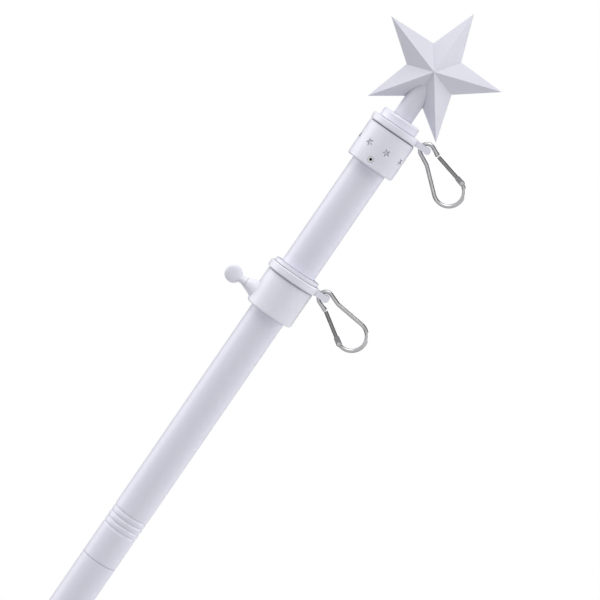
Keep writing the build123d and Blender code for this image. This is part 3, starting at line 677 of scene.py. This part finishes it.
def add_wing_bead(mesh, root, axis, across, trims):
    """The rounded bead that stamping leaves along a wing's edge."""
    normal = across.cross(axis)
    along = across * math.cos(trims.wing_rise) + axis * math.sin(trims.wing_rise)
    upward = axis * math.cos(trims.wing_rise) - across * math.sin(trims.wing_rise)
    side = trims.wing_width / 2 - trims.wing_bead
    reach = trims.wing_length - trims.wing_bead - trims.wing_corner
    bend = side - trims.wing_corner
    turns = [math.pi / 2 * step / BEAD_CORNER_STEPS for step in range(BEAD_CORNER_STEPS + 1)]
    lower = root + along * reach - upward * bend
    upper = root + along * reach + upward * bend
    line = [root - upward * side]
    line += [lower + (along * math.sin(a) - upward * math.cos(a)) * trims.wing_corner for a in turns]
    line += [upper + (along * math.cos(a) + upward * math.sin(a)) * trims.wing_corner for a in turns]
    line.append(root + upward * side + along * trims.hub_radius)
    rings = []
    for i, point in enumerate(line):
        heading = (line[min(i + 1, len(line) - 1)] - line[max(i - 1, 0)]).normalized()
        rings.append(circle(mesh, point, normal, normal.cross(heading), trims.wing_bead, BEAD_SEGMENTS))
    # The upper run ends at the hub's rim in a rounded nose
    nose = line[-1] - along * trims.wing_bead / 2
    nose_radius = trims.wing_bead * BEAD_NOSE_SHARE
    rings.append(circle(mesh, nose, normal, normal.cross(-along), nose_radius, BEAD_SEGMENTS))
    skin(mesh, rings)


def stamped_head(name, hub_foot, axis, across, trims):
    """The rolled rim, screw end and beaded wings of a wing screw's stamped head."""
    beside = axis.cross(across)
    hub_top = hub_foot + axis * trims.hub_length
    mesh = bmesh.new()
    rim = []
    for step in range(RIM_STEPS):
        angle = 2 * math.pi * step / RIM_STEPS
        outward = across * math.cos(angle) + beside * math.sin(angle)
        centre = hub_top + outward * (trims.hub_radius - trims.hub_rim)
        rim.append(circle(mesh, centre, outward, axis, trims.hub_rim, RIM_SEGMENTS))
    skin(mesh, rim, closed=True)
    floor = hub_top - axis * trims.hub_recess
    end = []
    for height_share, radius_share in SCREW_END_SHARES:
        centre = floor + axis * (height_share * trims.hub_recess)
        radius = radius_share * trims.screw_end
        end.append(circle(mesh, centre, across, beside, radius, SCREW_END_SEGMENTS))
    skin(mesh, end)
    middle = hub_foot + axis * (trims.hub_length / 2)
    for side in (across, -across):
        add_wing_bead(mesh, middle + side * trims.wing_root, axis, side, trims)
    return closed_piece(mesh, name, smooth=True)


def ease(low, high, value):
    """A smooth step from 0 at low to 1 at high."""
    share = min(1.0, max(0.0, (value - low) / (high - low)))
    return share * share * (3 - 2 * share)


def thumb_section(reach, trims):
    """Half the thumb screw's width and thickness, this far out from the pole's middle."""
    swell = trims.paddle_reach - trims.paddle_radius / 2
    waist = (trims.thumb_foot + swell) / 2
    flare = max(0.0, (waist - reach) / (waist - trims.thumb_foot)) ** FLARE_POWER
    neck = trims.thumb_neck + (trims.thumb_flare - trims.thumb_neck) * flare
    neck_width = neck * (1 - ease(swell, trims.paddle_reach + trims.paddle_radius, reach))
    offset = (reach - trims.paddle_reach) / trims.paddle_radius
    paddle_width = trims.paddle_radius * math.sqrt(max(0.0, 1 - offset * offset))
    width = (neck_width ** JOIN_POWER + paddle_width ** JOIN_POWER) ** (1 / JOIN_POWER)
    thickness = neck + (trims.paddle_crown - neck) * ease(waist, trims.paddle_reach, reach)
    if offset > 0:
        thickness *= math.sqrt(max(0.0, 1 - offset ** EDGE_POWER))
    return width, thickness


def thumb_screw_moulding(trims):
    """A thumb screw in one smooth moulding: a waisted neck that swells into a crowned round paddle."""
    turning_point = Vector(joints["thumb_screw_turn"]["pos_m"])
    height = (turning_point - lower_ring_centre).dot(pole_direction)
    middle = lower_ring_centre + pole_direction * height
    outward = -lug_direction
    mesh = bmesh.new()
    stud = []
    for reach in (trims.thumb_foot - STUD_LENGTH_SHARE * trims.thumb_flare, trims.thumb_foot):
        centre = middle + outward * reach
        stud.append(circle(mesh, centre, pole_direction, camera_side, trims.thumb_stud, STUD_SEGMENTS))
    skin(mesh, stud)
    # The stations lie closer together towards the paddle's round end
    neck_length = trims.paddle_reach - trims.thumb_foot
    stations = [trims.thumb_foot + neck_length * step / NECK_STEPS for step in range(NECK_STEPS)]
    turns = [PADDLE_STEP * step for step in range(PADDLE_STEPS)]
    stations += [trims.paddle_reach + trims.paddle_radius * math.sin(turn) for turn in turns]
    rings = []
    for reach in stations:
        width, thickness = thumb_section(reach, trims)
        across, through = pole_direction * width, camera_side * thickness
        rings.append(circle(mesh, middle + outward * reach, across, through, 1.0, MOULDING_SEGMENTS))
    skin(mesh, rings)
    return closed_piece(mesh, "thumb_screw_moulding", smooth=True)


def thread_mesh(name, start, direction, length, core_radius, trims):
    """A helical ridge round a screw's core, closed at both ends."""
    across = direction.orthogonal().normalized()
    beside = direction.cross(across)
    turns = length / trims.thread_pitch
    steps = int(turns * trims.thread_steps)
    half = trims.thread_pitch * THREAD_FLANK_SHARE
    sunk = core_radius - trims.thread_height
    section = [(sunk, -half), (core_radius + trims.thread_height, 0.0), (sunk, half)]
    mesh = bmesh.new()
    rows = []
    for step in range(steps + 1):
        angle = 2 * math.pi * step / trims.thread_steps
        outward = across * math.cos(angle) + beside * math.sin(angle)
        along = half + (length - 2 * half) * step / steps
        taper = min(1.0, step / trims.thread_steps, (steps - step) / trims.thread_steps)
        row = []
        for radius, offset in section:
            reach = sunk + (radius - sunk) * taper
            row.append(mesh.verts.new(start + direction * (along + offset) + outward * reach))
        rows.append(row)
    skin(mesh, rows)
    return closed_piece(mesh, name, smooth=False)


class FLAGPOLE_OT_dress_wing_screws(bpy.types.Operator):
    """Plates the wing screws, cuts their threads and stamps their heads"""

    bl_idname = "flagpole.dress_wing_screws"
    bl_label = "Wing screws"

    def execute(self, context):
        finishes = context.scene.flagpole_finishes
        trims = context.scene.flagpole_trims
        zinc = zinc_plated_steel(finishes.zinc)
        dress(WING_SCREWS, zinc)
        for name in WING_SCREWS:
            joint = joints[f"{name}_turn"]
            axis = Vector(joint["axis"])
            low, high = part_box(name)
            middle = Vector(joint["pos_m"])
            start = Vector((middle.x, low.y, middle.z))
            length = high.y - low.y - trims.screw_head
            across = wing_direction(name, middle, axis)
            pieces = [
                thread_mesh(f"{name}_thread", start, axis, length, trims.screw_radius, trims),
                stamped_head(f"{name}_head", start + axis * length, axis, across, trims),
            ]
            for piece in pieces:
                piece.data.materials.append(zinc)
                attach(piece, name)
        return {"FINISHED"}


class FLAGPOLE_OT_dress_top(bpy.types.Operator):
    """Finishes the collar, its set screw, the ring and the cap at the pole's top, and puts painted shade in
    the set screw's socket
    """

    bl_idname = "flagpole.dress_top"
    bl_label = "Top collar, ring and cap"

    def execute(self, context):
        finishes = context.scene.flagpole_finishes
        dress(["upper_collar"], moulded_abs(finishes.plastic))
        dress(TOP_LIGHT_SHADE_NODES, abs_with_light_painted_shade(finishes.plastic))
        dress(["collar_set_screw"], zinc_plated_steel(finishes.zinc))
        self.make_socket_painted_shade(context.scene.flagpole_trims)
        return {"FINISHED"}

    def make_socket_painted_shade(self, trims):
        """A black six-sided disc in the set screw's socket: painted shade for the socket's bottom."""
        low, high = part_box("collar_set_screw")
        middle = (low + high) / 2
        outward = middle - Vector(joints["upper_ring_spin"]["pos_m"])
        outward -= pole_direction * outward.dot(pole_direction)
        outward.normalize()
        vertices = frame["nodes"]["collar_set_screw"].data.vertices
        end = max(vertex.co.dot(outward) for vertex in vertices)
        depth = end - middle.dot(outward) - trims.socket_depth
        mesh = bmesh.new()
        bmesh.ops.create_circle(mesh, cap_ends=True, segments=SOCKET_SIDES, radius=trims.socket_radius)
        turn = outward.to_track_quat("Z", "Y").to_matrix().to_4x4()
        mesh.transform(Matrix.Translation(middle + outward * depth) @ turn)
        piece = object_from(mesh, "set_screw_socket")
        piece.data.materials.append(socket_painted_shade())
        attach(piece, "pole")


class FLAGPOLE_OT_dress_slider(bpy.types.Operator):
    """Finishes the sliding collar, its ring and its retainer, and moulds its thumb screw"""

    bl_idname = "flagpole.dress_slider"
    bl_label = "Sliding collar"

    def execute(self, context):
        nylon = moulded_nylon(context.scene.flagpole_finishes.slider)
        dress(SLIDER_NODES, nylon)
        piece = thumb_screw_moulding(context.scene.flagpole_trims)
        piece.data.materials.append(nylon)
        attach(piece, "thumb_screw")
        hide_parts("thumb_screw")
        return {"FINISHED"}


class FLAGPOLE_OT_dress_star(bpy.types.Operator):
    """Paints the star"""

    bl_idname = "flagpole.dress_star"
    bl_label = "Star"

    def execute(self, context):
        dress(["star_finial"], painted_star(context.scene.flagpole_finishes.star))
        return {"FINISHED"}


class FLAGPOLE_OT_dress_clips(bpy.types.Operator):
    """Plates the snap hooks and finishes their gates"""

    bl_idname = "flagpole.dress_clips"
    bl_label = "Snap hooks"

    def execute(self, context):
        dress(CLIP_NODES, nickel_plated_wire(context.scene.flagpole_finishes.nickel))
        dress(CLIP_GATES, darker_gate_metal())
        return {"FINISHED"}


def stand_facing(thing, aim, direction, distance, front):
    """Puts a lamp or card this far from a point, with its front to it, and hides it from the camera."""
    thing.location = aim + direction.normalized() * distance
    thing.rotation_mode = "QUATERNION"
    thing.rotation_quaternion = (-direction).to_track_quat(front, "Y")
    thing.visible_camera = False


def soft_box(name, aim, direction, distance, size, watts):
    """A square lamp that faces a point."""
    data = bpy.data.lights.new(name, "AREA")
    data.shape = "SQUARE"
    data.size = size
    data.energy = watts
    lamp = bpy.data.objects.new(name, data)
    bpy.context.scene.collection.objects.link(lamp)
    stand_facing(lamp, aim, direction, distance, front="-Z")


def dark_card(name, aim, direction, distance, size):
    """A black card beside the part that only its gloss sees, so that bright metal gets dark edges."""
    mesh = bmesh.new()
    bmesh.ops.create_grid(mesh, x_segments=1, y_segments=1, size=size / 2)
    card = object_from(mesh, name)
    stand_facing(card, aim, direction, distance, front="Z")
    card.visible_diffuse = False
    card.visible_shadow = False
    card.data.materials.append(black_felt())


class FLAGPOLE_OT_set_stage(bpy.types.Operator):
    """Makes the camera, the lamps, the dark cards, the white surroundings and the floor"""

    bl_idname = "flagpole.set_stage"
    bl_label = "Stage"

    def execute(self, context):
        stage = context.scene.flagpole_stage
        aim = lower_ring_centre + pole_direction * stage.aim_along + lug_direction * stage.aim_out
        back = camera_side * math.cos(stage.rise) + pole_direction * math.sin(stage.rise)
        seen_pole = (pole_direction - back * pole_direction.dot(back)).normalized()
        seen_left = back.cross(seen_pole)
        right = seen_pole * math.cos(stage.slant) - seen_left * math.sin(stage.slant)
        up = seen_pole * math.sin(stage.slant) + seen_left * math.cos(stage.slant)
        turn = Matrix((right, up, back)).transposed()
        self.make_camera(context, stage, Matrix.Translation(aim + back * stage.distance) @ turn.to_4x4())
        for name, shares in LAMP_SHARES.items():
            watts = getattr(stage, name)
            direction = turn @ Vector(shares)
            soft_box(f"{name}_lamp", aim, direction, stage.lamp_distance, stage.lamp_size, watts)
        for name, shares in CARD_SHARES.items():
            dark_card(name, aim, turn @ Vector(shares), stage.card_distance, stage.card_size)
        self.make_world(context, stage)
        self.make_floor(stage)
        context.scene.view_settings.view_transform = "Standard"
        return {"FINISHED"}

    def make_camera(self, context, stage, place):
        """A camera with the photograph's view of the pole's top."""
        data = bpy.data.cameras.new("camera")
        data.lens = data.sensor_width * stage.distance / stage.frame_width
        camera = bpy.data.objects.new("camera", data)
        context.scene.collection.objects.link(camera)
        camera.matrix_world = place
        context.scene.camera = camera

    def make_world(self, context, stage):
        """Even light for the surfaces, and plain white for what sees past them."""
        world = bpy.data.worlds.new("white_surroundings")
        world.use_nodes = True
        tree = world.node_tree
        tree.nodes.clear()
        light = add_node(
            tree, "ShaderNodeBackground", {"Color": linear("#FDFDFF"), "Strength": stage.ambient}
        )
        white = add_node(tree, "ShaderNodeBackground", {"Color": linear("#FFFFFF"), "Strength": 1.0})
        mix = add_node(tree, "ShaderNodeMixShader", links={"Fac": seen_directly(tree)})
        tree.links.new(light.outputs["Background"], mix.inputs[1])
        tree.links.new(white.outputs["Background"], mix.inputs[2])
        add_node(tree, "ShaderNodeOutputWorld", links={"Surface": mix.outputs["Shader"]})
        context.scene.world = world

    def make_floor(self, stage):
        """A round sheet of paper under the part."""
        mesh = bmesh.new()
        bmesh.ops.create_circle(mesh, cap_ends=True, segments=FLOOR_SEGMENTS, radius=stage.floor_radius)
        floor = object_from(mesh, "paper_floor")
        middle = (cad_low + cad_high) / 2
        floor.location = (middle.x, middle.y, cad_low.z - stage.floor_drop)
        floor.data.materials.append(studio_paper())


class FLAGPOLE_PT_dressing(bpy.types.Panel):
    """Lists the steps of the dressing"""

    bl_label = "House Flagpole"
    bl_idname = "FLAGPOLE_PT_dressing"
    bl_space_type = "VIEW_3D"
    bl_region_type = "UI"
    bl_category = "Flagpole"

    def draw(self, context):
        for group in GROUPS:
            settings = getattr(context.scene, group)
            box = self.layout.box()
            for name in settings.__annotations__:
                box.prop(settings, name)
        for step in STEPS:
            self.layout.operator(step.bl_idname)


GROUPS = {
    "flagpole_finishes": FlagpoleFinishes,
    "flagpole_trims": FlagpoleTrims,
    "flagpole_stage": FlagpoleStage,
}
STEPS = [
    FLAGPOLE_OT_dress_pole,
    FLAGPOLE_OT_dress_bracket,
    FLAGPOLE_OT_dress_wing_screws,
    FLAGPOLE_OT_dress_top,
    FLAGPOLE_OT_dress_slider,
    FLAGPOLE_OT_dress_star,
    FLAGPOLE_OT_dress_clips,
    FLAGPOLE_OT_set_stage,
]


def register():
    """Adds the settings, the steps and the panel."""
    for part in (*GROUPS.values(), *STEPS, FLAGPOLE_PT_dressing):
        bpy.utils.register_class(part)
    for name, group in GROUPS.items():
        setattr(bpy.types.Scene, name, PointerProperty(type=group))


def unregister():
    """Takes them away again."""
    for name in GROUPS:
        delattr(bpy.types.Scene, name)
    for part in (FLAGPOLE_PT_dressing, *reversed(STEPS), *reversed(GROUPS.values())):
        bpy.utils.unregister_class(part)


def main():
    """Dresses the part and sets the stage."""
    register()
    bpy.ops.flagpole.dress_pole()
    bpy.ops.flagpole.dress_bracket()
    bpy.ops.flagpole.dress_wing_screws()
    bpy.ops.flagpole.dress_top()
    bpy.ops.flagpole.dress_slider()
    bpy.ops.flagpole.dress_star()
    bpy.ops.flagpole.dress_clips()
    bpy.ops.flagpole.set_stage()


if __name__ == "__main__":
    main()
